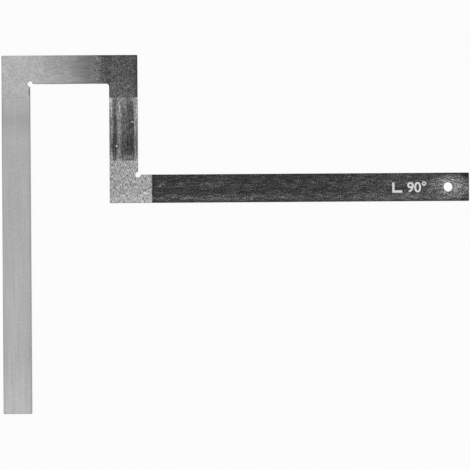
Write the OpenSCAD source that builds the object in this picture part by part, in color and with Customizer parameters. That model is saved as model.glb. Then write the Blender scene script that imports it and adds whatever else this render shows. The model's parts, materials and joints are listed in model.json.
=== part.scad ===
// Offset steel square: two right angles carried by one flat, stepped frame.
// Four lengths of flat bar are butt welded to three corner pieces cut from plate.
// The frame lies flat with its front face up. The back face is at z = 0, and the
// origin is the centre of the outline's box on that face. All sizes are in mm.

/* [Bars] */
// Width of every bar and of every corner piece
bar_w = 30; // [20:1:45]
// Thickness of the steel
thick = 5; // [3:0.5:8]
// Overall length of the long leg, its corner included
leg_len = 380; // [260:1:600]
// Overall length of the arm, its corner included
arm_len = 381; // [160:1:600]
// Clear gap between the leg and the riser
gap_w = 84; // [60:1:200]
// Clear height of the riser between the top bar and the arm
riser_clear = 97; // [60:1:160]

/* [Corner pieces] */
// Reach of a corner piece beyond its inner corner
stub = 15; // [10:1:20]
// Diameter of the relief drilled in each measuring corner
relief_d = 6; // [3:0.5:10]
// Radius of the corner that isn't measured with
fillet_r = 3.5; // [1:0.5:5]

/* [Hanging hole] */
// Diameter of the hole in the arm
hole_d = 10; // [5:0.5:14]
// Distance from the hole's centre to the arm's free end
hole_edge = 22; // [12:1:40]

/* [Seams and edges] */
// Square land left at the front of each welded seam
root_face = 1.5; // [1:0.25:2]
// Slope of each end that is prepared for welding, from square, in degrees
bevel_angle = 30; // [20:1:35]
// Chamfer along every outer edge
edge_break = 0.5; // [0.2:0.1:0.8]

/* [Hidden] */
$fn = 96;

// Overshoot of a cut beyond the face that it leaves through
over = 0.1;
// Height and half width of the weld groove, which opens at the back face
groove_h = thick - root_face;
groove_w = groove_h * tan(bevel_angle);

// Lines of the outline, left to right
leg_left = -(bar_w + gap_w + arm_len) / 2;
leg_right = leg_left + bar_w;
riser_left = leg_right + gap_w;
riser_right = riser_left + bar_w;
arm_end = riser_left + arm_len;
// Lines of the outline, top to bottom
frame_top = leg_len / 2;
top_bar_low = frame_top - bar_w;
arm_top = top_bar_low - riser_clear;
arm_low = arm_top - bar_w;
leg_end = frame_top - leg_len;
// Seams between the bars and the corner pieces
seam_below_top = top_bar_low - stub;
seam_above_arm = arm_top + stub;
seam_right_of_leg = leg_right + stub;
seam_left_of_riser = riser_left - stub;
seam_right_of_riser = riser_right + stub;

// Steel finishes
ground_steel = "#aeaeae";
faded_steel = "#8f8f8f";
blued_steel = "#565656";
rolled_steel = "#6a6a6a";
dressed_steel = "#a0a0a0";
scale_steel = "#434343";
weld_steel = "#c8c4bc";

// ---- Sections shared by bars, corners and welds ----

// Cross-section of the bar, width along X and thickness along Y, edges chamfered
module bar_section() {
    polygon([
        [edge_break, 0], [0, edge_break],
        [0, thick - edge_break], [edge_break, thick],
        [bar_w - edge_break, thick], [bar_w, thick - edge_break],
        [bar_w, edge_break], [bar_w - edge_break, 0],
    ]);
}

// The bar's section, run along +X from x = from to x = to
module section_run(from, to) {
    translate([from, 0, 0])
        rotate([90, 0, 90])
            linear_extrude(to - from)
                bar_section();
}

// Outline of one end in side view: a chamfered free end or one sloped for welding
function free_end() = [
    [edge_break, 0], [0, edge_break],
    [0, thick - edge_break], [edge_break, thick],
];
function weld_end() = [[groove_w, 0], [0, groove_h], [0, thick]];
function far_side(points, length) =
    [for (i = [len(points) - 1:-1:0]) [length - points[i][0], points[i][1]]];

// Flat bar along +X from the origin, width along +Y, back face at z = 0
module flat_bar(length, start, end) {
    intersection() {
        section_run(-over, length + over);
        translate([0, bar_w + over, 0])
            rotate([90, 0, 0])
                linear_extrude(bar_w + 2 * over)
                    polygon(concat(start, far_side(end, length)));
    }
}

// Cutter for a round hole on the Z axis, with both rims chamfered
module drilled(d) {
    r = d / 2;
    rim = edge_break + over;
    translate([0, 0, -over])
        cylinder(h = thick + 2 * over, r = r);
    translate([0, 0, -over])
        cylinder(h = rim, r1 = r + rim, r2 = r);
    translate([0, 0, thick - edge_break])
        cylinder(h = rim, r1 = r, r2 = r + rim);
}

// ---- Corner pieces ----

// L-shaped plate, outer corner at the origin, arms along +X and +Y
module elbow() {
    flat_bar(bar_w + stub, free_end(), weld_end());
    mirror([1, -1, 0])
        flat_bar(bar_w + stub, free_end(), weld_end());
}

// Corner with the drilled relief that keeps the measuring edges true to the vertex
module relieved_corner() {
    difference() {
        elbow();
        translate([bar_w, bar_w, 0])
            drilled(relief_d);
    }
}

// Corner with a plain inner radius
module radiused_corner() {
    elbow();
    difference() {
        translate([bar_w - edge_break, bar_w - edge_break, 0])
            cube([fillet_r + edge_break, fillet_r + edge_break, thick]);
        translate([bar_w + fillet_r, bar_w + fillet_r, 0])
            drilled(2 * fillet_r);
    }
}

module corner_top_left() {
    color(ground_steel)
        translate([leg_left, frame_top, 0])
            mirror([0, 1, 0])
                relieved_corner();
}

module corner_top_right() {
    color(blued_steel)
        translate([riser_right, frame_top, 0])
            rotate([0, 0, 180])
                radiused_corner();
}

module corner_lower() {
    color(dressed_steel)
        translate([riser_left, arm_low, 0])
            relieved_corner();
}

// ---- Bars ----

module leg() {
    color(ground_steel)
        translate([leg_right, leg_end, 0])
            rotate([0, 0, 90])
                flat_bar(seam_below_top - leg_end, free_end(), weld_end());
}

module top_bar() {
    color(faded_steel)
        translate([seam_right_of_leg, top_bar_low, 0])
            flat_bar(seam_left_of_riser - seam_right_of_leg, weld_end(), weld_end());
}

module riser() {
    color(rolled_steel)
        translate([riser_right, seam_above_arm, 0])
            rotate([0, 0, 90])
                flat_bar(seam_below_top - seam_above_arm, weld_end(), weld_end());
}

module arm() {
    color(scale_steel)
        difference() {
            translate([seam_right_of_riser, arm_low, 0])
                flat_bar(arm_end - seam_right_of_riser, weld_end(), free_end());
            translate([arm_end - hole_edge, arm_low + bar_w / 2, 0])
                drilled(hole_d);
        }
}

// ---- Welds ----

// Weld that fills the groove at x = 0, dressed flush with the back face
module groove_weld() {
    color(weld_steel)
        intersection() {
            section_run(-groove_w - over, groove_w + over);
            translate([0, bar_w, 0])
                rotate([90, 0, 0])
                    linear_extrude(bar_w)
                        polygon([[-groove_w, 0], [groove_w, 0], [0, groove_h]]);
        }
}

// Weld across a level bar, at x
module level_weld(x, low_edge) {
    translate([x, low_edge, 0])
        groove_weld();
}

// Weld across an upright bar, at y
module upright_weld(y, right_edge) {
    translate([right_edge, y, 0])
        rotate([0, 0, 90])
            groove_weld();
}

module weld_leg() { upright_weld(seam_below_top, leg_right); }
module weld_top_bar_left() { level_weld(seam_right_of_leg, top_bar_low); }
module weld_top_bar_right() { level_weld(seam_left_of_riser, top_bar_low); }
module weld_riser_top() { upright_weld(seam_below_top, riser_right); }
module weld_riser_bottom() { upright_weld(seam_above_arm, riser_right); }
module weld_arm() { level_weld(seam_right_of_riser, arm_low); }

leg();
top_bar();
riser();
arm();
corner_top_left();
corner_top_right();
corner_lower();
weld_leg();
weld_top_bar_left();
weld_top_bar_right();
weld_riser_top();
weld_riser_bottom();
weld_arm();
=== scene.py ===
"""Looks of an offset flange square, a flat welded frame of steel bar.

Seven pieces of steel lie in one plane: a long leg, a top bar, a riser and an arm, with
three corner plates between them. Six butt welds hold them together, in grooves that
open at the back. Each CAD node is replaced by a piece with rounded edges, hairline
seams, a surface with real relief and a finish of its own.

Lengths are in metres, and a size given in millimetres is multiplied by MM.
"""

from __future__ import annotations

import json
import logging
import math
from collections.abc import Iterable
from dataclasses import dataclass
from enum import Enum
from typing import Any

import bmesh
import bpy
from mathutils import Matrix, Vector, noise

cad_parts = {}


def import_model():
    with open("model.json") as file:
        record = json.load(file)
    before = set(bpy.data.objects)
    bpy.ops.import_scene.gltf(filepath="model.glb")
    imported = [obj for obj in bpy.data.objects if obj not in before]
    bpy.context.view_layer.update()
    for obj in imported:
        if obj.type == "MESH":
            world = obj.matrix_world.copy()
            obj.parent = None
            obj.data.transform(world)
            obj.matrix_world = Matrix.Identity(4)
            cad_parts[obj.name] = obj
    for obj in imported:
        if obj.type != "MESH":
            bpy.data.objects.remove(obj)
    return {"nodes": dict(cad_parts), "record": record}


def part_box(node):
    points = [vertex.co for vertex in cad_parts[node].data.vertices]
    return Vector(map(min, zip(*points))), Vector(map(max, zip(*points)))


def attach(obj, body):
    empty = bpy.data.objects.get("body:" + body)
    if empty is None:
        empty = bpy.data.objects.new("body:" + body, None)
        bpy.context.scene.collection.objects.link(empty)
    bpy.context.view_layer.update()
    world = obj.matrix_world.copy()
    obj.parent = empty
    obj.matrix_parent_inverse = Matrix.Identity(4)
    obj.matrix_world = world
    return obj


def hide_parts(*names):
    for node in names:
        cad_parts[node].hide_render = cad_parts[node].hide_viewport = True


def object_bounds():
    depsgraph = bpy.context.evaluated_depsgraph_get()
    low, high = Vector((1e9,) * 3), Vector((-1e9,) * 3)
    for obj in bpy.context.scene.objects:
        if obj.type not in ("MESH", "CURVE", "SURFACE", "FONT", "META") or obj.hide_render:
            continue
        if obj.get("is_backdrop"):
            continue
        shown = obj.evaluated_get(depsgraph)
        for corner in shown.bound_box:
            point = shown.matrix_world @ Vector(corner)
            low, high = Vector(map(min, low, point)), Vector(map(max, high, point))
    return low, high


Mesh = bmesh.types.BMesh
Socket = bpy.types.NodeSocket
Tree = bpy.types.NodeTree

LOG = logging.getLogger("offset_flange_square")
MM = 0.001
BODY = "root"
# Two points this near are in the same place for a test, and at a tenth of it they're merged
NEAR = 0.01 * MM
MERGE_REACH = NEAR / 10
# A face is square to an axis if its normal's share along that axis is above this
SQUARE = 0.999

# Sizes of the square's features that no CAD node's box gives
RELIEF_WIDTH = 6 * MM
INNER_RADIUS = 3.5 * MM
MARK_HEIGHT = 10.6 * MM
MARK_TO_HOLE = 41.5 * MM
# Where the camera looks, from the middle of the square, and how much it takes in
VIEW_SHIFT = (-0.97 * MM, -1.66 * MM)
VIEW_WIDTH = 498.15 * MM


class Side(Enum):
    """A side of a piece in the frame's plane, as the direction that it faces."""

    LEFT = (-1.0, 0.0, 0.0)
    RIGHT = (1.0, 0.0, 0.0)
    BOTTOM = (0.0, -1.0, 0.0)
    TOP = (0.0, 1.0, 0.0)

    @property
    def outward(self) -> Vector:
        """Direction out of the piece through this side."""
        return Vector(self.value)


class Axis(Enum):
    """A direction in the frame's plane that a tone changes along."""

    X = 0
    Y = 1


# ---- Shader helpers ----


def linear_colour(hex_tone: str) -> tuple[float, float, float, float]:
    """Turns an sRGB hex tone into linear RGBA.

    Args:
        hex_tone: Colour such as "#aeaeae".

    Returns:
        Linear red, green and blue, and an alpha of 1.
    """
    channels = (int(hex_tone[i : i + 2], 16) / 255 for i in (1, 3, 5))
    red, green, blue = (
        c / 12.92 if c <= 0.04045 else ((c + 0.055) / 1.055) ** 2.4 for c in channels
    )
    return red, green, blue, 1.0


def add_node(
    tree: Tree, kind: str, inputs: dict[str | int, Any] | None = None, **settings: str
) -> bpy.types.Node:
    """Adds a shader node with its settings, values and links.

    Args:
        tree: Tree that receives the node.
        kind: Blender's name of the node's type, after its first word ShaderNode.
        inputs: A value or an output socket for each input, by name or number.
        **settings: Properties of the node.

    Returns:
        The new node.
    """
    node = tree.nodes.new(f"ShaderNode{kind}")
    for name, value in settings.items():
        setattr(node, name, value)
    for name, value in (inputs or {}).items():
        if isinstance(value, Socket):
            tree.links.new(value, node.inputs[name])
        else:
            node.inputs[name].default_value = value
    return node


def span(
    value: Socket, source: tuple[float, float], target: tuple[float, float]
) -> dict[str, Any]:
    """Gives the inputs of a node that maps one range onto another.

    Args:
        value: Socket with the value to map.
        source: Lower and upper end of the range that the value comes from.
        target: The two values that those ends become.

    Returns:
        The inputs by name.
    """
    names = ("Value", "From Min", "From Max", "To Min", "To Max")
    return dict(zip(names, (value, *source, *target)))


def new_material(name: str) -> tuple[bpy.types.Material, Tree]:
    """Makes an empty node material.

    Args:
        name: Name of the material.

    Returns:
        The material and its node tree.
    """
    material = bpy.data.materials.new(name)
    material.use_nodes = True
    material.node_tree.nodes.clear()
    return material, material.node_tree


# ---- Finishes ----


@dataclass(frozen=True)
class Gradient:
    """A tone that changes from one side of a piece to the other.

    Attributes:
        axis: Direction of the change.
        stops: Share of the way from the low side to the high side, and the tone there.
    """

    axis: Axis
    stops: tuple[tuple[float, str], ...]

    def add(self, tree: Tree, place: Socket, box: Box) -> Socket:
        """Adds the gradient's nodes.

        Args:
            tree: Tree that receives the nodes.
            place: Socket with the surface's position in object coordinates.
            box: Box of the piece that the gradient spans.

        Returns:
            Socket with the tone.
        """
        index = self.axis.value
        parts = add_node(tree, "SeparateXYZ", {0: place})
        reach = (box.low[index], box.high[index])
        inputs = span(parts.outputs[index], reach, (0.0, 1.0))
        share = add_node(tree, "MapRange", inputs)
        ramp = add_node(tree, "ValToRGB", {0: share.outputs[0]})
        elements = ramp.color_ramp.elements
        while len(elements) < len(self.stops):
            elements.new(0.5)
        for element, (position, tone) in zip(elements, self.stops):
            element.position = position
            element.color = linear_colour(tone)
        return ramp.outputs[0]


@dataclass(frozen=True)
class Grain:
    """A random pattern of marks in a surface's tone.

    Grinding marks and specks of scale are about 0.1 mm wide, too fine to show, so each
    finish draws its finest ones 0.5 to 1.1 mm wide.

    Attributes:
        size_mm: Length of one mark along X and along Y.
        ratio: How many times lighter than the middle tone the lightest marks are.
        seed: Offset that makes this pattern differ from others of the same size.
    """

    size_mm: tuple[float, float]
    ratio: float
    seed: float = 0.0

    # Noise this far from its middle value, or further, is a full mark
    SPREAD = 0.12

    def add(self, tree: Tree, place: Socket) -> Socket:
        """Adds the pattern's nodes.

        Args:
            tree: Tree that receives the nodes.
            place: Socket with the surface's position in object coordinates.

        Returns:
            Socket with a value from -1, dark, to 1, light.
        """
        across, up = self.size_mm
        mapping = add_node(
            tree,
            "Mapping",
            {
                "Vector": place,
                "Location": (self.seed, self.seed, self.seed),
                "Scale": (1 / (across * MM), 1 / (up * MM), 1 / (min(across, up) * MM)),
            },
        )
        inputs = {"Vector": mapping.outputs[0], "Scale": 1.0, "Detail": 3.0}
        pattern = add_node(tree, "TexNoise", inputs)
        middle = (0.5 - self.SPREAD, 0.5 + self.SPREAD)
        inputs = span(pattern.outputs[0], middle, (-1.0, 1.0))
        return add_node(tree, "MapRange", inputs).outputs[0]


@dataclass(frozen=True)
class Patch:
    """An oval patch of another tone on a front face, such as a rubbed place, a chip or painted
    shade.

    Attributes:
        place_mm: Distance of its centre from the piece's low corner along X and along Y.
        reach_mm: Distance from its centre to its border along X and along Y.
        tone: Tone at its centre.
        core: Share of that reach that has the full tone.
    """

    place_mm: tuple[float, float]
    reach_mm: tuple[float, float]
    tone: str
    core: float = 0.4

    # Reach through the thickness, which keeps the patch off the back face
    DEPTH_MM = 1.0

    def add(self, tree: Tree, place: Socket, colour: Socket, box: Box) -> Socket:
        """Adds the patch's nodes.

        Args:
            tree: Tree that receives the nodes.
            place: Socket with the surface's position in object coordinates.
            colour: Socket with the tone around the patch.
            box: Box of the piece that it is on.

        Returns:
            Socket with the tone, patch included.
        """
        scale = Vector(1 / (reach * MM) for reach in (*self.reach_mm, self.DEPTH_MM))
        centre = box.low + Vector((*self.place_mm, 0.0)) * MM
        centre.z = box.high.z
        inputs = {"Vector": place, "Location": -(centre * scale), "Scale": scale}
        mapping = add_node(tree, "Mapping", inputs)
        reach = add_node(tree, "VectorMath", {0: mapping.outputs[0]}, operation="LENGTH")
        inputs = span(reach.outputs["Value"], (self.core, 1.0), (1.0, 0.0))
        share = add_node(tree, "MapRange", inputs, interpolation_type="SMOOTHSTEP")
        inputs = {0: share.outputs[0], 6: colour, 7: linear_colour(self.tone)}
        return add_node(tree, "Mix", inputs, data_type="RGBA").outputs[2]


@dataclass(frozen=True)
class SteelFinish:
    """A finish of one piece of steel, on its front and back faces and on its edges.

    Attributes:
        name: Common name of the finish.
        slot: The record's material slot for it.
        tone: Tone along the piece.
        shade: Second tone across the piece, which multiplies the first. Dark ends are painted
            shade at rims.
        grains: Patterns of marks in the tone, coarsest last.
        roughness: Roughness of the faces.
        edge: Tone of the narrow side walls, set darker than the faces as painted shade on the
            walls.
        edge_roughness: Roughness of the side walls.
        relief_mm: Depth of the surface's real relief.
        relief_size_mm: Length of one hollow of that relief along X and along Y.
        grid_mm: Spacing of the mesh that carries the relief.
        metallic: Share of bare metal, which is lower under an oxide skin.
        patches: Places of another tone on the front face, some of them painted shade at the rims.
    """

    name: str
    slot: str
    tone: Gradient
    shade: Gradient
    grains: tuple[Grain, ...]
    roughness: float
    edge: str
    edge_roughness: float
    relief_mm: float
    relief_size_mm: tuple[float, float]
    grid_mm: float
    metallic: float = 1.0
    patches: tuple[Patch, ...] = ()

    # Depth of the finest marks, which are too small for the mesh
    BUMP_MM = 0.02
    # How far the marks take the roughness up and down, as a share of it
    ROUGHNESS_SWING = 0.15
    # Marks on the side walls: long in the plane and thin through the thickness, where real
    # ones of 0.05 mm would be too fine to show. Then their contrast
    WALL_MARK_MM = (50 / 3, 50 / 3, 0.25)
    WALL_CONTRAST = 0.2

    def add_shader(
        self, tree: Tree, colour: Socket, roughness: Socket | float, height: Socket
    ) -> None:
        """Ends a material's nodes with its bump, its shader and its output.

        Args:
            tree: Tree that receives the nodes.
            colour: Socket with the tone.
            roughness: Roughness, or a socket with it.
            height: Socket with the height of the finest marks.
        """
        bump = add_node(tree, "Bump", {"Height": height, "Distance": self.BUMP_MM * MM})
        inputs = {
            "Base Color": colour,
            "Metallic": self.metallic,
            "Roughness": roughness,
            "Normal": bump.outputs[0],
        }
        shader = add_node(tree, "BsdfPrincipled", inputs)
        add_node(tree, "OutputMaterial", {"Surface": shader.outputs[0]})

    def faces(self, box: Box) -> bpy.types.Material:
        """Makes the material of the front and back faces.

        Args:
            box: Box of the piece that wears the finish.

        Returns:
            The material.
        """
        material, tree = new_material(self.name)
        place = add_node(tree, "TexCoord").outputs["Object"]
        inputs = {0: self.tone.add(tree, place, box), 1: self.shade.add(tree, place, box)}
        colour = add_node(tree, "VectorMath", inputs, operation="MULTIPLY").outputs[0]
        for patch in self.patches:
            colour = patch.add(tree, place, colour, box)
        marks: list[Socket] = []
        for grain in self.grains:
            marks.append(grain.add(tree, place))
            factor = add_node(tree, "Math", {0: grain.ratio, 1: marks[-1]}, operation="POWER")
            inputs = {0: colour, "Scale": factor.outputs[0]}
            colour = add_node(tree, "VectorMath", inputs, operation="SCALE").outputs[0]
        swing = self.roughness * self.ROUGHNESS_SWING
        inputs = span(marks[0], (-1.0, 1.0), (self.roughness + swing, self.roughness - swing))
        roughness = add_node(tree, "MapRange", inputs)
        self.add_shader(tree, colour, roughness.outputs[0], marks[0])
        return material

    def edges(self) -> bpy.types.Material:
        """Makes the material of the side walls, whose marks run round the outline."""
        material, tree = new_material(f"{self.name} edge")
        place = add_node(tree, "TexCoord").outputs["Object"]
        scale = Vector(1 / (length * MM) for length in self.WALL_MARK_MM)
        lines = add_node(tree, "Mapping", {"Vector": place, "Scale": scale})
        inputs = {"Vector": lines.outputs[0], "Scale": 1.0, "Detail": 3.0}
        pattern = add_node(tree, "TexNoise", inputs)
        swing = self.WALL_CONTRAST
        inputs = span(pattern.outputs[0], (0.5 - swing, 0.5 + swing), (1 - swing, 1 + swing))
        factor = add_node(tree, "MapRange", inputs)
        # The walls' tone is darker than the faces': painted shade on the side walls
        inputs = {0: linear_colour(self.edge)[:3], "Scale": factor.outputs[0]}
        colour = add_node(tree, "VectorMath", inputs, operation="SCALE")
        self.add_shader(tree, colour.outputs[0], self.edge_roughness, pattern.outputs[0])
        return material


# Fine ground flat bar: pale, even, with a faint grain along the leg
GROUND_BAR = SteelFinish(
    name="fine ground flat bar",
    slot="ground_steel",
    tone=Gradient(
        Axis.Y,
        (
            (0.0, "#bdbdbd"), (0.13, "#b7b7b7"), (0.18, "#b3b3b3"), (0.86, "#b2b2b2"),
            (0.935, "#a8a8a8"), (0.965, "#b1b1b1"), (1.0, "#b5b5b5"),
        ),
    ),
    # Slightly darker along both long edges: painted shade at the edges
    shade=Gradient(
        Axis.X, ((0.0, "#f2f2f2"), (0.06, "#ffffff"), (0.9, "#ffffff"), (0.97, "#f4f4f4"))
    ),
    grains=(
        Grain((0.8, 90.0), 1.04),
        Grain((1.2, 2.4), 1.06, 31.0),
        Grain((9.0, 40.0), 1.03, 7.0),
    ),
    roughness=0.34,
    # Side walls darker than the faces: painted shade
    edge="#9c9c9c",
    edge_roughness=0.3,
    relief_mm=0.01,
    relief_size_mm=(12.0, 60.0),
    grid_mm=5.0,
)

# Ground corner plate: as pale as the leg, with soft clouds instead of a grain
GROUND_PLATE = SteelFinish(
    name="ground corner plate",
    slot="ground_steel",
    tone=Gradient(Axis.X, ((0.0, "#b7b7b7"), (0.6, "#b7b7b7"), (1.0, "#b4b4b4"))),
    shade=Gradient(Axis.Y, ((0.0, "#fcfcfc"), (1.0, "#ffffff"))),
    grains=(Grain((1.1, 1.7), 1.12), Grain((8.0, 8.0), 1.05, 3.0)),
    roughness=0.36,
    # Side walls darker than the faces: painted shade
    edge="#9c9c9c",
    edge_roughness=0.3,
    relief_mm=0.015,
    relief_size_mm=(7.0, 7.0),
    grid_mm=1.5,
    # Thin dark line along the upright inner edge: painted shade at the edge
    patches=(Patch((29.3, 6.0), (0.8, 5.2), "#7c7c7c", 0.75),),
)

# Top bar: ground pale at the left and darkened by heat towards the right
HEAT_FADED_BAR = SteelFinish(
    name="heat faded flat bar",
    slot="faded_steel",
    tone=Gradient(
        Axis.X,
        (
            (0.0, "#b4b4b4"), (0.16, "#adadad"), (0.32, "#a9a9a9"), (0.48, "#a3a3a3"),
            (0.64, "#929292"), (0.79, "#848484"), (0.87, "#7c7c7c"), (0.95, "#7f7f7f"),
            (1.0, "#7a7a7a"),
        ),
    ),
    shade=Gradient(
        Axis.Y,
        (
            (0.0, "#ececec"), (0.08, "#ffffff"), (0.3, "#fafafa"), (0.5, "#f2f2f2"),
            (1.0, "#f4f4f4"),
        ),
    ),
    grains=(Grain((6.0, 0.9), 1.1), Grain((1.2, 1.2), 1.14, 5.0)),
    roughness=0.38,
    # Side walls darker than the faces: painted shade
    edge="#7c7c7c",
    edge_roughness=0.36,
    relief_mm=0.02,
    relief_size_mm=(8.0, 1.6),
    grid_mm=1.0,
)

# Top right corner: heat blued plate, mottled at sand grain size, with rims darkened as painted
# shade
BLUED_PLATE = SteelFinish(
    name="heat blued corner plate",
    slot="blued_steel",
    tone=Gradient(
        Axis.X,
        (
            (0.0, "#7e7e7e"), (0.09, "#777777"), (0.16, "#656565"), (0.25, "#606060"),
            (0.34, "#575757"), (0.43, "#646464"), (0.7, "#606060"), (0.95, "#5c5c5c"),
            # Darker towards the right edge: painted shade at the edge
            (0.98, "#464646"), (1.0, "#3c3c3c"),
        ),
    ),
    shade=Gradient(
        Axis.Y,
        (
            (0.0, "#ffffff"), (0.34, "#ffffff"), (0.4, "#f2f2f2"), (0.93, "#f0f0f0"),
            # Darker at the top edge: painted shade at the edge
            (1.0, "#b8b8b8"),
        ),
    ),
    grains=(Grain((1.0, 0.9), 2.0), Grain((4.0, 3.0), 1.14, 11.0)),
    roughness=0.44,
    metallic=0.9,
    # Side walls darker than the faces: painted shade
    edge="#4c4c4c",
    edge_roughness=0.42,
    relief_mm=0.04,
    relief_size_mm=(1.8, 1.8),
    grid_mm=0.75,
)

# Riser: hot rolled bar with light and dark bands along it and short fine streaks
ROLLED_BAR = SteelFinish(
    name="streaked hot rolled bar",
    slot="rolled_steel",
    tone=Gradient(
        Axis.Y,
        (
            (0.0, "#a0a0a0"), (0.05, "#989898"), (0.1, "#848484"), (0.15, "#7a7a7a"),
            (0.24, "#737373"), (0.4, "#7e7e7e"), (0.5, "#8b8b8b"), (0.62, "#8a8a8a"),
            (0.8, "#999999"), (0.9, "#a0a0a0"), (1.0, "#ababab"),
        ),
    ),
    shade=Gradient(
        Axis.X,
        (
            (0.0, "#ffffff"), (0.1, "#ffffff"), (0.14, "#a4a4a4"), (0.23, "#949494"),
            (0.3, "#f0f0f0"), (0.38, "#fafafa"), (0.45, "#acacac"), (0.58, "#b8b8b8"),
            (0.63, "#9e9e9e"), (0.85, "#989898"), (0.9, "#ffffff"), (1.0, "#ffffff"),
        ),
    ),
    grains=(Grain((0.6, 2.6), 1.75), Grain((0.65, 14.0), 1.5, 13.0)),
    roughness=0.42,
    metallic=0.95,
    # Side walls darker than the faces: painted shade
    edge="#6a6a6a",
    edge_roughness=0.4,
    relief_mm=0.05,
    relief_size_mm=(1.4, 9.0),
    grid_mm=0.75,
    patches=(
        Patch((17.0, 67.0), (18.0, 10.0), "#7c7c7c", 0.3),
        Patch((17.0, 3.5), (18.0, 3.5), "#747474", 0.0),
        Patch((7.5, 15.5), (1.2, 1.2), "#e4e4e4"),
        Patch((24.5, 41.0), (0.9, 0.9), "#e4e4e4"),
    ),
)

# Lower corner: plate dressed by hand, pale with a coarse short grain that runs upright
DRESSED_PLATE = SteelFinish(
    name="hand dressed corner plate",
    slot="dressed_steel",
    tone=Gradient(
        Axis.X, ((0.0, "#a6a6a6"), (0.5, "#aaaaaa"), (0.95, "#adadad"), (1.0, "#a2a2a2"))
    ),
    shade=Gradient(
        Axis.Y, ((0.0, "#ffffff"), (0.18, "#ffffff"), (0.27, "#efefef"), (1.0, "#f2f2f2"))
    ),
    grains=(Grain((0.5, 3.0), 2.1), Grain((3.0, 4.0), 1.08, 17.0)),
    roughness=0.4,
    # Side walls darker than the faces: painted shade
    edge="#8c8c8c",
    edge_roughness=0.34,
    relief_mm=0.06,
    relief_size_mm=(1.6, 3.0),
    grid_mm=0.75,
)

# Arm: black mill scale, speckled and banded along its length, rubbed round the hanging hole
MILL_SCALE_BAR = SteelFinish(
    name="black mill scale bar",
    slot="scale_steel",
    tone=Gradient(
        Axis.X,
        (
            (0.0, "#3a3a3a"), (0.006, "#484848"), (0.014, "#535353"), (0.2, "#535353"),
            (0.36, "#4d4d4d"), (0.6, "#515151"), (0.67, "#5d5d5d"), (0.8, "#606060"),
            # Darker at the free end: painted shade at the end edge
            (0.95, "#646464"), (1.0, "#444444"),
        ),
    ),
    # Its ends, darker at the bottom and top rims, are painted shade at the edges
    shade=Gradient(
        Axis.Y,
        (
            (0.0, "#b4b4b4"), (0.05, "#c8c8c8"), (0.13, "#ffffff"), (0.22, "#eeeeee"),
            (0.34, "#c0c0c0"), (0.49, "#bebebe"), (0.57, "#cccccc"), (0.7, "#d8d8d8"),
            (0.77, "#bcbcbc"), (0.94, "#b8b8b8"), (1.0, "#989898"),
        ),
    ),
    grains=(
        Grain((1.2, 1.0), 2.7),
        Grain((7.0, 1.1), 1.6, 19.0),
        Grain((7.0, 3.0), 1.25, 37.0),
    ),
    roughness=0.46,
    metallic=0.85,
    # Side walls darker than the faces: painted shade
    edge="#464646",
    edge_roughness=0.44,
    relief_mm=0.06,
    relief_size_mm=(8.0, 1.5),
    grid_mm=1.0,
    patches=(
        Patch((319.0, 16.5), (34.0, 14.5), "#848484", 0.1),
        # The next four are painted shade along the rims and corners of the free end
        Patch((322.0, 30.0), (26.0, 2.6), "#303030", 0.3),
        Patch((333.0, 29.0), (6.5, 7.0), "#2a2a2a", 0.3),
        Patch((332.0, 0.5), (3.5, 2.5), "#343434"),
        Patch((337.5, 14.0), (5.0, 20.0), "#404040", 0.2),
        Patch((8.6, 18.0), (1.0, 1.0), "#e4e4e4"),
    ),
)

# Weld metal: ground flush with the back, bright and cross-grained
WELD_METAL = SteelFinish(
    name="ground weld metal",
    slot="weld_steel",
    tone=Gradient(Axis.X, ((0.0, "#c4c1ba"), (1.0, "#c4c1ba"))),
    shade=Gradient(Axis.Y, ((0.0, "#ffffff"), (1.0, "#ffffff"))),
    grains=(Grain((0.5, 0.5), 1.12), Grain((1.5, 1.5), 1.12, 23.0)),
    roughness=0.32,
    # Side walls darker than the faces: painted shade
    edge="#a8a59e",
    edge_roughness=0.34,
    relief_mm=0.12,
    relief_size_mm=(1.5, 1.5),
    grid_mm=0.4,
)


@dataclass(frozen=True)
class PrintingInk:
    """White ink of a pad-printed mark, thin enough for the steel's marks to show.

    Attributes:
        name: Common name of the finish.
        tone: Tone of the ink.
        worn_tone: Tone where the ink is rubbed thin.
        roughness: Roughness of the dried ink.
        wear: Size of the worn marks, of which only the strongest show.
    """

    name: str = "white printing ink"
    tone: str = "#f4f4f2"
    worn_tone: str = "#bdbdbb"
    roughness: float = 0.55
    wear: Grain = Grain((1.2, 0.8), 1.0, 29.0)

    # Strength of a mark at which wear begins, and the strength that would bare the worn tone
    WEAR_RANGE = (0.8, 2.2)

    def material(self) -> bpy.types.Material:
        """Makes the ink's material."""
        material, tree = new_material(self.name)
        place = add_node(tree, "TexCoord").outputs["Object"]
        inputs = span(self.wear.add(tree, place), self.WEAR_RANGE, (0.0, 1.0))
        share = add_node(tree, "MapRange", inputs)
        tones = {6: linear_colour(self.tone), 7: linear_colour(self.worn_tone)}
        mix = add_node(tree, "Mix", {0: share.outputs[0], **tones}, data_type="RGBA")
        inputs = {"Base Color": mix.outputs[2], "Roughness": self.roughness}
        shader = add_node(tree, "BsdfPrincipled", inputs)
        add_node(tree, "OutputMaterial", {"Surface": shader.outputs[0]})
        return material


# ---- Mesh helpers ----


@dataclass(frozen=True)
class Box:
    """The lowest and highest corner of a piece.

    Attributes:
        low: Lowest corner.
        high: Highest corner.
    """

    low: Vector
    high: Vector

    @classmethod
    def of(cls, node: str) -> Box:
        """Reads a CAD node's box."""
        return cls(*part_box(node))

    @property
    def size(self) -> Vector:
        """Length of the box along each axis."""
        return self.high - self.low

    @property
    def centre(self) -> Vector:
        """Middle of the box."""
        return (self.low + self.high) / 2


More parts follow.
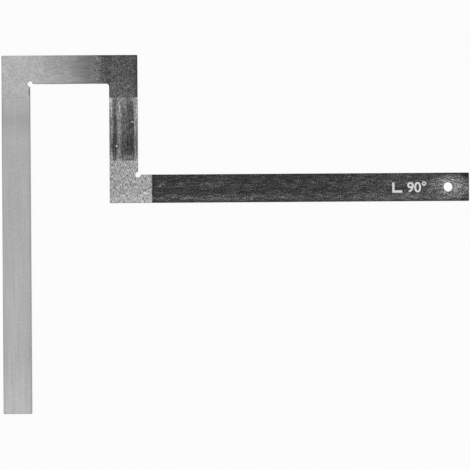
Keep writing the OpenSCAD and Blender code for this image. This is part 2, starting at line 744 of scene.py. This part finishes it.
def block(mesh: Mesh, box: Box) -> None:
    """Adds a solid block that fills a box.

    Args:
        mesh: Mesh that receives the block.
        box: Box to fill.
    """
    place = Matrix.Translation(box.centre) @ Matrix.Diagonal((*box.size, 1.0))
    bmesh.ops.create_cube(mesh, size=1.0, matrix=place)


def cut_at(
    mesh: Mesh, point: Vector, normal: Vector, faces: Iterable[bmesh.types.BMFace] | None = None
) -> None:
    """Cuts faces along a plane and keeps both sides.

    Args:
        mesh: Mesh to cut.
        point: A point of the plane.
        normal: The plane's normal.
        faces: Faces to cut, or None for the whole mesh.
    """
    chosen = list(mesh.faces if faces is None else faces)
    edges = {edge for face in chosen for edge in face.edges}
    verts = {vert for face in chosen for vert in face.verts}
    bmesh.ops.bisect_plane(
        mesh, geom=[*verts, *edges, *chosen], dist=NEAR, plane_co=point, plane_no=normal
    )


def round_edges(
    mesh: Mesh, edges: Iterable[bmesh.types.BMEdge], radius: float, segments: int
) -> None:
    """Rounds edges.

    Args:
        mesh: Mesh that holds the edges.
        edges: Edges to round.
        radius: Width that the round takes from each face.
        segments: Number of strips in the round.
    """
    bmesh.ops.bevel(
        mesh,
        geom=list(edges),
        offset=radius,
        segments=segments,
        profile=0.5,
        affect="EDGES",
        material=-1,
        clamp_overlap=True,
    )


def grid_lines(low: float, high: float, spacing: float) -> list[float]:
    """Divides a length evenly.

    Args:
        low: Lower end of the length.
        high: Upper end of the length.
        spacing: Largest distance between two lines.

    Returns:
        Places of the inner lines.
    """
    count = max(1, math.ceil((high - low) / spacing))
    return [low + (high - low) * i / count for i in range(1, count)]


def flat_verts(mesh: Mesh) -> list[bmesh.types.BMVert]:
    """Lists the points inside the front and back faces, away from their borders."""
    return [
        vert for vert in mesh.verts if all(abs(face.normal.z) > SQUARE for face in vert.link_faces)
    ]


def finish_mesh(mesh: Mesh, name: str) -> bpy.types.Object:
    """Turns a mesh under construction into an object of the scene.

    Args:
        mesh: The mesh, which is freed.
        name: Name of the object.

    Returns:
        The object, at the origin.
    """
    bmesh.ops.remove_doubles(mesh, verts=mesh.verts[:], dist=MERGE_REACH)
    bmesh.ops.recalc_face_normals(mesh, faces=mesh.faces[:])
    for face in mesh.faces:
        face.smooth = True
    data = bpy.data.meshes.new(name)
    mesh.to_mesh(data)
    mesh.free()
    obj = bpy.data.objects.new(name, data)
    bpy.context.scene.collection.objects.link(obj)
    return obj


# ---- Pieces of the square ----


@dataclass
class Groove:
    """Size of a weld groove, read from a weld's own box.

    Attributes:
        half_width: Distance from the seam to the groove's edge at the back.
        depth: Height of the groove above the back face.
    """

    half_width: float
    depth: float

    @classmethod
    def of(cls, weld: str) -> Groove:
        """Reads the groove that a CAD weld fills."""
        size = Box.of(weld).size
        return cls(min(size.x, size.y) / 2, size.z)


@dataclass
class Drilling:
    """A round hole through a plate, with both rims rounded.

    Attributes:
        place: The hole's centre.
        radius: The hole's radius.
        rim: Radius of the rounded rims.
    """

    place: Vector
    radius: float
    rim: float = 0.3 * MM

    SIDES = 64
    RIM_STEPS = 5

    def cutter(self, box: Box, materials: Iterable[bpy.types.Material]) -> bpy.types.Object:
        """Makes the solid that is taken out of a plate.

        Args:
            box: Box of the plate.
            materials: The plate's materials, of which the second lines the hole.

        Returns:
            The cutter, at the origin.
        """
        out, below, above = self.radius + self.rim, box.low.z - self.rim, box.high.z + self.rim
        flare = [math.pi / 2 * i / self.RIM_STEPS for i in range(self.RIM_STEPS + 1)]
        rounds = [
            (out - self.rim * math.sin(turn), self.rim * (1 - math.cos(turn))) for turn in flare
        ]
        outline = [(0.0, below), (out, below)]
        outline += [(x, box.low.z + depth) for x, depth in rounds]
        outline += [(x, box.high.z - depth) for x, depth in reversed(rounds)]
        outline += [(out, above), (0.0, above)]
        mesh = bmesh.new()
        profile = [mesh.verts.new((x, 0.0, z)) for x, z in outline]
        edges = [mesh.edges.new(pair) for pair in zip(profile, profile[1:])]
        bmesh.ops.spin(
            mesh,
            geom=profile + edges,
            cent=(0.0, 0.0, 0.0),
            axis=(0.0, 0.0, 1.0),
            angle=math.tau,
            steps=self.SIDES,
            use_merge=True,
        )
        bmesh.ops.remove_doubles(mesh, verts=mesh.verts[:], dist=MERGE_REACH)
        bmesh.ops.translate(
            mesh, vec=Vector((self.place.x, self.place.y, 0.0)), verts=mesh.verts[:]
        )
        for face in mesh.faces:
            face.material_index = 1
        cutter = finish_mesh(mesh, "hole_cutter")
        for material in materials:
            cutter.data.materials.append(material)
        return cutter


@dataclass
class Plate:
    """A flat piece of steel that stands for the CAD node of its own name.

    Attributes:
        node: Name of the CAD node and of the piece.
        finish: Finish of the piece.
        seams: Sides that are welded to a neighbour.
        groove: Size of the weld grooves at those sides.
        edge_radius: Radius of the worn outer edges.
        seam_break: Width of the hairline chamfer at the front of a seam.
    """

    node: str
    finish: SteelFinish
    seams: tuple[Side, ...]
    groove: Groove
    edge_radius: float = 0.6 * MM
    seam_break: float = 0.15 * MM

    EDGE_SEGMENTS = 4
    SHARP_ANGLE = math.radians(35)
    # Steepest normal of a face that wears the finish of the side walls
    WALL_NORMAL = 0.6
    # Step in the relief's noise between the front face and the back
    BACK_LAYER = 50.0

    @property
    def box(self) -> Box:
        """Box of the CAD node."""
        return Box.of(self.node)

    def rough_shape(self, mesh: Mesh) -> None:
        """Adds the plain solid, before edges, grooves and holes."""
        block(mesh, self.box)

    def drillings(self) -> list[Drilling]:
        """Lists the holes through the piece."""
        return []

    def seam_plane(self, side: Side) -> Vector:
        """Gives a point on the seam's plane at one side."""
        return self.box.high if max(side.value) > 0 else self.box.low

    def on_seam(self, point: Vector, side: Side, reach: float = NEAR) -> bool:
        """Tells if a point is within reach of a seam's plane.

        Args:
            point: The point.
            side: The side that is welded.
            reach: Largest distance from the plane.

        Returns:
            True if it is that near.
        """
        return abs((point - self.seam_plane(side)).dot(side.outward)) < reach

    def prepare_seam(self, mesh: Mesh, side: Side) -> None:
        """Slopes one end for its weld, with a square land left at the front.

        Args:
            mesh: Mesh of the piece.
            side: Side that is welded.
        """
        land = Vector((0.0, 0.0, self.box.low.z + self.groove.depth))
        ends = [
            face for face in mesh.faces if all(self.on_seam(v.co, side) for v in face.verts)
        ]
        cut_at(mesh, land, Vector((0.0, 0.0, 1.0)), ends)
        back = [
            vert
            for vert in mesh.verts
            if self.on_seam(vert.co, side) and vert.co.z < self.box.low.z + NEAR
        ]
        bmesh.ops.translate(mesh, vec=-side.outward * self.groove.half_width, verts=back)

    def is_outer_edge(self, edge: bmesh.types.BMEdge) -> bool:
        """Tells if an edge is on the piece's outline and not on a seam or a groove."""
        if len(edge.link_faces) != 2 or edge.calc_face_angle() < self.SHARP_ANGLE:
            return False
        reach = self.groove.half_width + NEAR
        return not any(
            all(self.on_seam(vert.co, side, reach) for vert in edge.verts)
            for side in self.seams
        )

    def soften(self, mesh: Mesh) -> None:
        """Rounds the outline's edges and breaks the front edge of each seam."""
        round_edges(
            mesh,
            [edge for edge in mesh.edges if self.is_outer_edge(edge)],
            self.edge_radius,
            self.EDGE_SEGMENTS,
        )
        front = self.box.high.z - NEAR
        for side in self.seams:
            seam = [
                edge
                for edge in mesh.edges
                if all(self.on_seam(v.co, side) and v.co.z > front for v in edge.verts)
            ]
            round_edges(mesh, seam, self.seam_break, 1)

    def add_grid(self, mesh: Mesh) -> None:
        """Cuts the piece into a grid that is fine enough for its relief."""
        box = self.box
        spacing = self.finish.grid_mm * MM
        for x in grid_lines(box.low.x, box.high.x, spacing):
            cut_at(mesh, Vector((x, 0.0, 0.0)), Vector((1.0, 0.0, 0.0)))
        for y in grid_lines(box.low.y, box.high.y, spacing):
            cut_at(mesh, Vector((0.0, y, 0.0)), Vector((0.0, 1.0, 0.0)))

    def add_relief(self, mesh: Mesh) -> None:
        """Sinks the faces by a shallow random relief, and leaves their borders as they are."""
        box = self.box
        across, up = self.finish.relief_size_mm
        depth = self.finish.relief_mm * MM
        for vert in flat_verts(mesh):
            front = vert.co.z > box.centre.z
            layer = 0.0 if front else self.BACK_LAYER
            place = Vector((vert.co.x / (across * MM), vert.co.y / (up * MM), layer))
            sunk = depth * min(1.0, max(0.0, 0.5 + noise.noise(place)))
            vert.co.z += -sunk if front else sunk

    def dress(self, piece: bpy.types.Object) -> None:
        """Gives the faces and the side walls their materials.

        Args:
            piece: The finished piece.
        """
        for material in (self.finish.faces(self.box), self.finish.edges()):
            piece.data.materials.append(material)
        for polygon in piece.data.polygons:
            polygon.material_index = 0 if abs(polygon.normal.z) > self.WALL_NORMAL else 1

    def drill(self, piece: bpy.types.Object) -> None:
        """Takes the holes out of the piece.

        Args:
            piece: The dressed piece.
        """
        for drilling in self.drillings():
            cutter = drilling.cutter(self.box, piece.data.materials)
            cut = piece.modifiers.new("drilling", "BOOLEAN")
            cut.operation = "DIFFERENCE"
            cut.solver = "EXACT"
            cut.object = cutter
            graph = bpy.context.evaluated_depsgraph_get()
            drilled = bpy.data.meshes.new_from_object(piece.evaluated_get(graph))
            piece.modifiers.clear()
            piece.data = drilled
            bpy.data.objects.remove(cutter)

    def build(self) -> bpy.types.Object:
        """Builds and dresses the piece in place of its CAD node.

        Returns:
            The piece.
        """
        mesh = bmesh.new()
        self.rough_shape(mesh)
        for side in self.seams:
            self.prepare_seam(mesh, side)
        self.soften(mesh)
        self.add_grid(mesh)
        mesh.normal_update()
        self.add_relief(mesh)
        piece = finish_mesh(mesh, f"{self.node}_steel")
        self.dress(piece)
        self.drill(piece)
        piece.data.set_sharp_from_angle(angle=self.SHARP_ANGLE)
        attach(piece, BODY)
        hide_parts(self.node)
        return piece


@dataclass
class Bar(Plate):
    """A straight length of flat bar."""


@dataclass(kw_only=True)
class Arm(Bar):
    """The arm, a bar with the hanging hole near its free end.

    Attributes:
        hole: The record's mount for the hanging hole.
    """

    hole: dict[str, Any]

    def drillings(self) -> list[Drilling]:
        """Lists the hanging hole."""
        return [Drilling(Vector(self.hole["pos_m"]), self.hole["dims"]["r_mm"] * MM)]


@dataclass(kw_only=True)
class CornerPlate(Plate):
    """An L-shaped corner plate, whose level stub has the first seam.

    Attributes:
        bar_width: Width of the bars that it joins.
        relief: Diameter of the drilled relief, or 0.
        fillet: Radius of the inner corner where there is no relief.
    """

    bar_width: float
    relief: float = 0.0
    fillet: float = 0.0

    FILLET_SEGMENTS = 10

    @property
    def open_way(self) -> Vector:
        """Direction from the outer corner to the inner one, one unit along X and Y."""
        return self.seams[0].outward + self.seams[1].outward

    @property
    def outer_corner(self) -> Vector:
        """The outer corner, at the back face."""
        low, high, way = self.box.low, self.box.high, self.open_way
        x = low.x if way.x > 0 else high.x
        y = low.y if way.y > 0 else high.y
        return Vector((x, y, low.z))

    @property
    def inner_corner(self) -> Vector:
        """The inner corner, at the back face."""
        return self.outer_corner + self.open_way * self.bar_width

    def rough_shape(self, mesh: Mesh) -> None:
        """Adds the level stub and draws the upright one out of it."""
        box, inner, way = self.box, self.inner_corner, self.open_way
        low, high = box.low.copy(), box.high.copy()
        if way.y > 0:
            high.y = inner.y
        else:
            low.y = inner.y
        block(mesh, Box(low, high))
        cut_at(mesh, inner, Vector((1.0, 0.0, 0.0)))
        mesh.faces.ensure_lookup_table()
        stub = [
            face
            for face in mesh.faces
            if face.normal.y * way.y > SQUARE
            and (face.calc_center_median().x - inner.x) * way.x < 0
        ]
        grown = bmesh.ops.extrude_face_region(mesh, geom=stub)
        verts = [item for item in grown["geom"] if isinstance(item, bmesh.types.BMVert)]
        reach = box.size.y - self.bar_width
        bmesh.ops.translate(mesh, vec=Vector((0.0, way.y * reach, 0.0)), verts=verts)
        bmesh.ops.delete(mesh, geom=stub, context="FACES_ONLY")
        if self.fillet:
            edges = [edge for edge in mesh.edges if self.is_inner_edge(edge)]
            round_edges(mesh, edges, self.fillet, self.FILLET_SEGMENTS)

    def is_inner_edge(self, edge: bmesh.types.BMEdge) -> bool:
        """Tells if an edge is the upright one at the inner corner."""
        inner = self.inner_corner
        return all((vert.co - inner).xy.length < NEAR for vert in edge.verts)

    def is_outer_edge(self, edge: bmesh.types.BMEdge) -> bool:
        """Tells if an edge is to be rounded, which the inner corner's own edge isn't."""
        return super().is_outer_edge(edge) and not self.is_inner_edge(edge)

    def drillings(self) -> list[Drilling]:
        """Lists the relief at the inner corner, if it has one."""
        return [Drilling(self.inner_corner, self.relief / 2)] if self.relief else []


@dataclass
class Weld(Plate):
    """A butt weld that fills its groove, ground flush at the tops of its ripples.

    Attributes:
        ripple_pitch: Distance from one ripple to the next.
        ripple_sag: How far the ripples' ends lag behind their middles.
        wobble_size: Length over which the ripples' spacing wanders.
    """

    ripple_pitch: float = 1.4 * MM
    ripple_sag: float = 0.9 * MM
    wobble_size: float = 3 * MM

    # Largest shift of a ripple by that wandering, in radians
    WOBBLE = 2.0

    @property
    def along(self) -> int:
        """Index of the axis that the bead runs along."""
        return 0 if self.box.size.x > self.box.size.y else 1

    def rough_shape(self, mesh: Mesh) -> None:
        """Adds a ridge that is as wide as the groove at the back and sharp at the top."""
        block(mesh, self.box)
        centre, across = self.box.centre, 1 - self.along
        for vert in mesh.verts:
            if vert.co.z > centre.z:
                vert.co[across] = centre[across]
        bmesh.ops.remove_doubles(mesh, verts=mesh.verts[:], dist=NEAR)

    def is_outer_edge(self, edge: bmesh.types.BMEdge) -> bool:
        """Tells if an edge is one of the two short ones across the ends at the back."""
        box, along = self.box, self.along
        at_back = all(vert.co.z < box.low.z + NEAR for vert in edge.verts)
        return at_back and any(
            all(abs(vert.co[along] - end) < NEAR for vert in edge.verts)
            for end in (box.low[along], box.high[along])
        )

    def add_relief(self, mesh: Mesh) -> None:
        """Sinks the bead between its ripples, which curve back from its middle."""
        centre, along, across = self.box.centre, self.along, 1 - self.along
        half = self.box.size[across] / 2
        depth = self.finish.relief_mm * MM
        for vert in flat_verts(mesh):
            off = (vert.co[across] - centre[across]) / half
            run = vert.co[along] + self.ripple_sag * off * off
            wobble = noise.noise(Vector((vert.co.x, vert.co.y, 0.0)) / self.wobble_size)
            turn = math.tau * run / self.ripple_pitch + self.WOBBLE * wobble
            ripple = 0.5 - 0.5 * math.cos(turn)
            vert.co.z += depth * ripple * (1 - off * off)


@dataclass
class PrintedMark:
    """The printed size of the angle, with the sign for a right angle beside it.

    Attributes:
        centre: Middle of the mark on the arm's front face.
        height: Height of the figures.
        ink: The ink it is printed in.
        slot: Material slot of the arm's finish in the record; not used.
        thickness: Thickness of the ink above the face.
        sunk: Depth of the ink in the steel's relief.
    """

    centre: Vector
    height: float
    ink: PrintingInk
    slot: str
    thickness: float = 0.04 * MM
    sunk: float = 0.03 * MM

    FIGURES = "90°"
    CURVE_STEPS = 6
    # Shares of the figures' height: lettering size, added boldness, the sign's stroke and gap
    LETTER_SIZE = 1.42
    BOLDNESS = 0.025
    STROKE = 0.22
    GAP = 0.5

    def figures(self) -> bpy.types.Object:
        """Sets the figures as a mesh, starting at the origin."""
        curve = bpy.data.curves.new("figures", "FONT")
        curve.body = self.FIGURES
        curve.size = self.height * self.LETTER_SIZE
        curve.offset = self.height * self.BOLDNESS
        curve.extrude = (self.thickness + self.sunk) / 2
        curve.resolution_u = self.CURVE_STEPS
        text = bpy.data.objects.new("figures", curve)
        bpy.context.scene.collection.objects.link(text)
        graph = bpy.context.evaluated_depsgraph_get()
        data = bpy.data.meshes.new_from_object(text.evaluated_get(graph))
        bpy.data.objects.remove(text)
        return bpy.data.objects.new("printed_angle", data)

    def build(self) -> bpy.types.Object:
        """Builds the mark.

        Returns:
            The mark as one piece.
        """
        piece = self.figures()
        bpy.context.scene.collection.objects.link(piece)
        mesh = bmesh.new()
        mesh.from_mesh(piece.data)
        bmesh.ops.remove_doubles(mesh, verts=mesh.verts[:], dist=MERGE_REACH)
        low = Vector(min(v.co[i] for v in mesh.verts) for i in range(3))
        high = Vector(max(v.co[i] for v in mesh.verts) for i in range(3))
        self.add_right_angle(mesh, low.x - self.GAP * self.height, low.y)
        left = min(v.co.x for v in mesh.verts)
        middle = Vector(((left + high.x) / 2, (low.y + high.y) / 2, low.z))
        place = self.centre - middle - Vector((0.0, 0.0, self.sunk))
        bmesh.ops.translate(mesh, vec=place, verts=mesh.verts[:])
        bmesh.ops.recalc_face_normals(mesh, faces=mesh.faces[:])
        mesh.to_mesh(piece.data)
        mesh.free()
        piece.data.materials.clear()
        piece.data.materials.append(self.ink.material())
        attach(piece, BODY)
        return piece

    def add_right_angle(self, mesh: Mesh, right: float, base: float) -> None:
        """Adds an L of two strokes, left of the figures.

        Args:
            mesh: Mesh of the mark.
            right: X of the sign's right end.
            base: Y of the figures' foot.
        """
        stroke = self.STROKE * self.height
        half = (self.thickness + self.sunk) / 2
        left = right - self.height
        top = base + self.height
        outline = (
            (left, base),
            (right, base),
            (right, base + stroke),
            (left + stroke, base + stroke),
            (left + stroke, top),
            (left, top),
        )
        back, front = ([mesh.verts.new((x, y, z)) for x, y in outline] for z in (-half, half))
        mesh.faces.new(back)
        mesh.faces.new(front)
        for i in range(len(outline)):
            mesh.faces.new((back[i - 1], back[i], front[i], front[i - 1]))


# ---- Studio ----


@dataclass
class Studio:
    """Pale floor, soft overhead light, pale surroundings and the camera.

    Attributes:
        view_centre: Point of the front face that the camera looks straight at.
        view_width: Width that the camera takes in at that face.
        lens: Focal length in millimetres.
        roll: Turn of the camera about its own axis.
    """

    view_centre: Vector
    view_width: float
    lens: float = 100.0
    roll: float = -0.0065

    SENSOR = 36.0
    FLOOR_WIDTH = 12.0
    FLOOR_DROP = 0.05 * MM
    FLOOR_TONE = "#f2f2f2"
    # Share of the floor's look that is plain white. The rest takes the shadow
    WHITENESS = 0.93
    WHITE = (1.0, 1.0, 1.0, 1.0)
    LAMP_WIDTH = 4.0
    LAMP_HEIGHT = 2.4
    LAMP_POWER = 25.0
    # Strength of the surroundings at the horizon and overhead, and where the second is reached
    HORIZON = 0.42
    ZENITH = 0.5
    ZENITH_HEIGHT = 0.5

    def floor(self) -> bpy.types.Object:
        """Lays the floor, which looks white and keeps a soft shadow."""
        mesh = bmesh.new()
        bmesh.ops.create_grid(mesh, x_segments=1, y_segments=1, size=self.FLOOR_WIDTH / 2)
        bmesh.ops.translate(
            mesh, vec=Vector((0.0, 0.0, -self.FLOOR_DROP)), verts=mesh.verts[:]
        )
        floor = finish_mesh(mesh, "floor")
        material, tree = new_material("white paper floor")
        tone = linear_colour(self.FLOOR_TONE)
        matt = add_node(tree, "BsdfDiffuse", {"Color": tone})
        glow = add_node(tree, "Emission", {"Color": self.WHITE, "Strength": 1.0})
        path = add_node(tree, "LightPath")
        seen = path.outputs["Is Camera Ray"]
        for ray in ("Is Glossy Ray", "Is Transmission Ray"):
            inputs = {0: seen, 1: path.outputs[ray]}
            seen = add_node(tree, "Math", inputs, operation="MAXIMUM").outputs[0]
        share = add_node(tree, "Math", {0: seen, 1: self.WHITENESS}, operation="MULTIPLY")
        inputs = {0: share.outputs[0], 1: matt.outputs[0], 2: glow.outputs[0]}
        mix = add_node(tree, "MixShader", inputs)
        add_node(tree, "OutputMaterial", {"Surface": mix.outputs[0]})
        floor.data.materials.append(material)
        floor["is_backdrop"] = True
        return floor

    def world(self) -> None:
        """Lights the surroundings, bright overhead and dimmer towards the horizon."""
        world = bpy.data.worlds.new("studio")
        world.use_nodes = True
        tree = world.node_tree
        tree.nodes.clear()
        way = add_node(tree, "TexCoord").outputs["Generated"]
        parts = add_node(tree, "SeparateXYZ", {0: way})
        strengths = (self.HORIZON, self.ZENITH)
        inputs = span(parts.outputs[2], (0.0, self.ZENITH_HEIGHT), strengths)
        level = add_node(tree, "MapRange", inputs)
        inputs = {"Color": self.WHITE, "Strength": level.outputs[0]}
        sky = add_node(tree, "Background", inputs)
        add_node(tree, "OutputWorld", {"Surface": sky.outputs[0]})
        bpy.context.scene.world = world

    def lamp(self) -> None:
        """Hangs the soft light over the square."""
        light = bpy.data.lights.new("overhead softbox", "AREA")
        light.shape = "SQUARE"
        light.size = self.LAMP_WIDTH
        light.energy = self.LAMP_POWER
        lamp = bpy.data.objects.new("overhead_softbox", light)
        lamp.location = (0.0, 0.0, self.LAMP_HEIGHT)
        bpy.context.scene.collection.objects.link(lamp)

    def camera(self) -> None:
        """Sets the camera straight above the front face."""
        data = bpy.data.cameras.new("camera")
        data.lens = self.lens
        data.sensor_width = self.SENSOR
        camera = bpy.data.objects.new("camera", data)
        height = self.view_width * self.lens / self.SENSOR
        camera.location = self.view_centre + Vector((0.0, 0.0, height))
        camera.rotation_euler = (0.0, 0.0, self.roll)
        bpy.context.scene.collection.objects.link(camera)
        bpy.context.scene.camera = camera

    def build(self) -> None:
        """Builds the floor, the lights and the camera."""
        self.floor()
        self.world()
        self.lamp()
        self.camera()
        bpy.context.scene.view_settings.view_transform = "Standard"


def steel_pieces(nodes: Iterable[str], hang_hole: dict[str, Any]) -> list[Plate]:
    """Lists the bars, the corner plates and the welds, in the order they're built.

    Args:
        nodes: Names of the CAD nodes.
        hang_hole: The record's mount for the hanging hole.

    Returns:
        The pieces, not yet built.
    """
    groove = Groove.of("weld_leg")
    width = Box.of("leg").size.x
    corners = (
        ("corner_top_left", GROUND_PLATE, (Side.RIGHT, Side.BOTTOM), {"relief": RELIEF_WIDTH}),
        ("corner_top_right", BLUED_PLATE, (Side.LEFT, Side.BOTTOM), {"fillet": INNER_RADIUS}),
        ("corner_lower", DRESSED_PLATE, (Side.RIGHT, Side.TOP), {"relief": RELIEF_WIDTH}),
    )
    return [
        Bar("leg", GROUND_BAR, (Side.TOP,), groove),
        Bar("top_bar", HEAT_FADED_BAR, (Side.LEFT, Side.RIGHT), groove),
        Bar("riser", ROLLED_BAR, (Side.BOTTOM, Side.TOP), groove),
        Arm("arm", MILL_SCALE_BAR, (Side.LEFT,), groove, hole=hang_hole),
        *(
            CornerPlate(node, finish, seams, groove, bar_width=width, **inner)
            for node, finish, seams, inner in corners
        ),
        *(Weld(n, WELD_METAL, (), groove) for n in sorted(nodes) if n.startswith("weld_")),
    ]


def main() -> None:
    """Builds every piece and the studio."""
    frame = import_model()
    cad_box = [list(corner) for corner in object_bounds()]
    mounts = {mount["name"]: mount for mount in frame["record"]["mounts"]}
    hang_hole = mounts["hang_hole"]
    hole = Vector(hang_hole["pos_m"])
    front = Box.of("arm").high.z
    mark = PrintedMark(
        centre=Vector((hole.x - MARK_TO_HOLE, hole.y, front)),
        height=MARK_HEIGHT,
        ink=PrintingInk(),
        slot=MILL_SCALE_BAR.slot,
    )
    for builder in (*steel_pieces(frame["nodes"], hang_hole), mark):
        piece = builder.build()
        kind = type(builder).__name__
        LOG.info("%s %s: %d faces", kind, piece.name, len(piece.data.polygons))
    middle = Box(*(Vector(corner) for corner in cad_box)).centre
    middle.z = front
    Studio(view_centre=middle + Vector((*VIEW_SHIFT, 0.0)), view_width=VIEW_WIDTH).build()


if __name__ == "__main__":
    logging.basicConfig(level=logging.INFO, format="%(message)s")
    main()
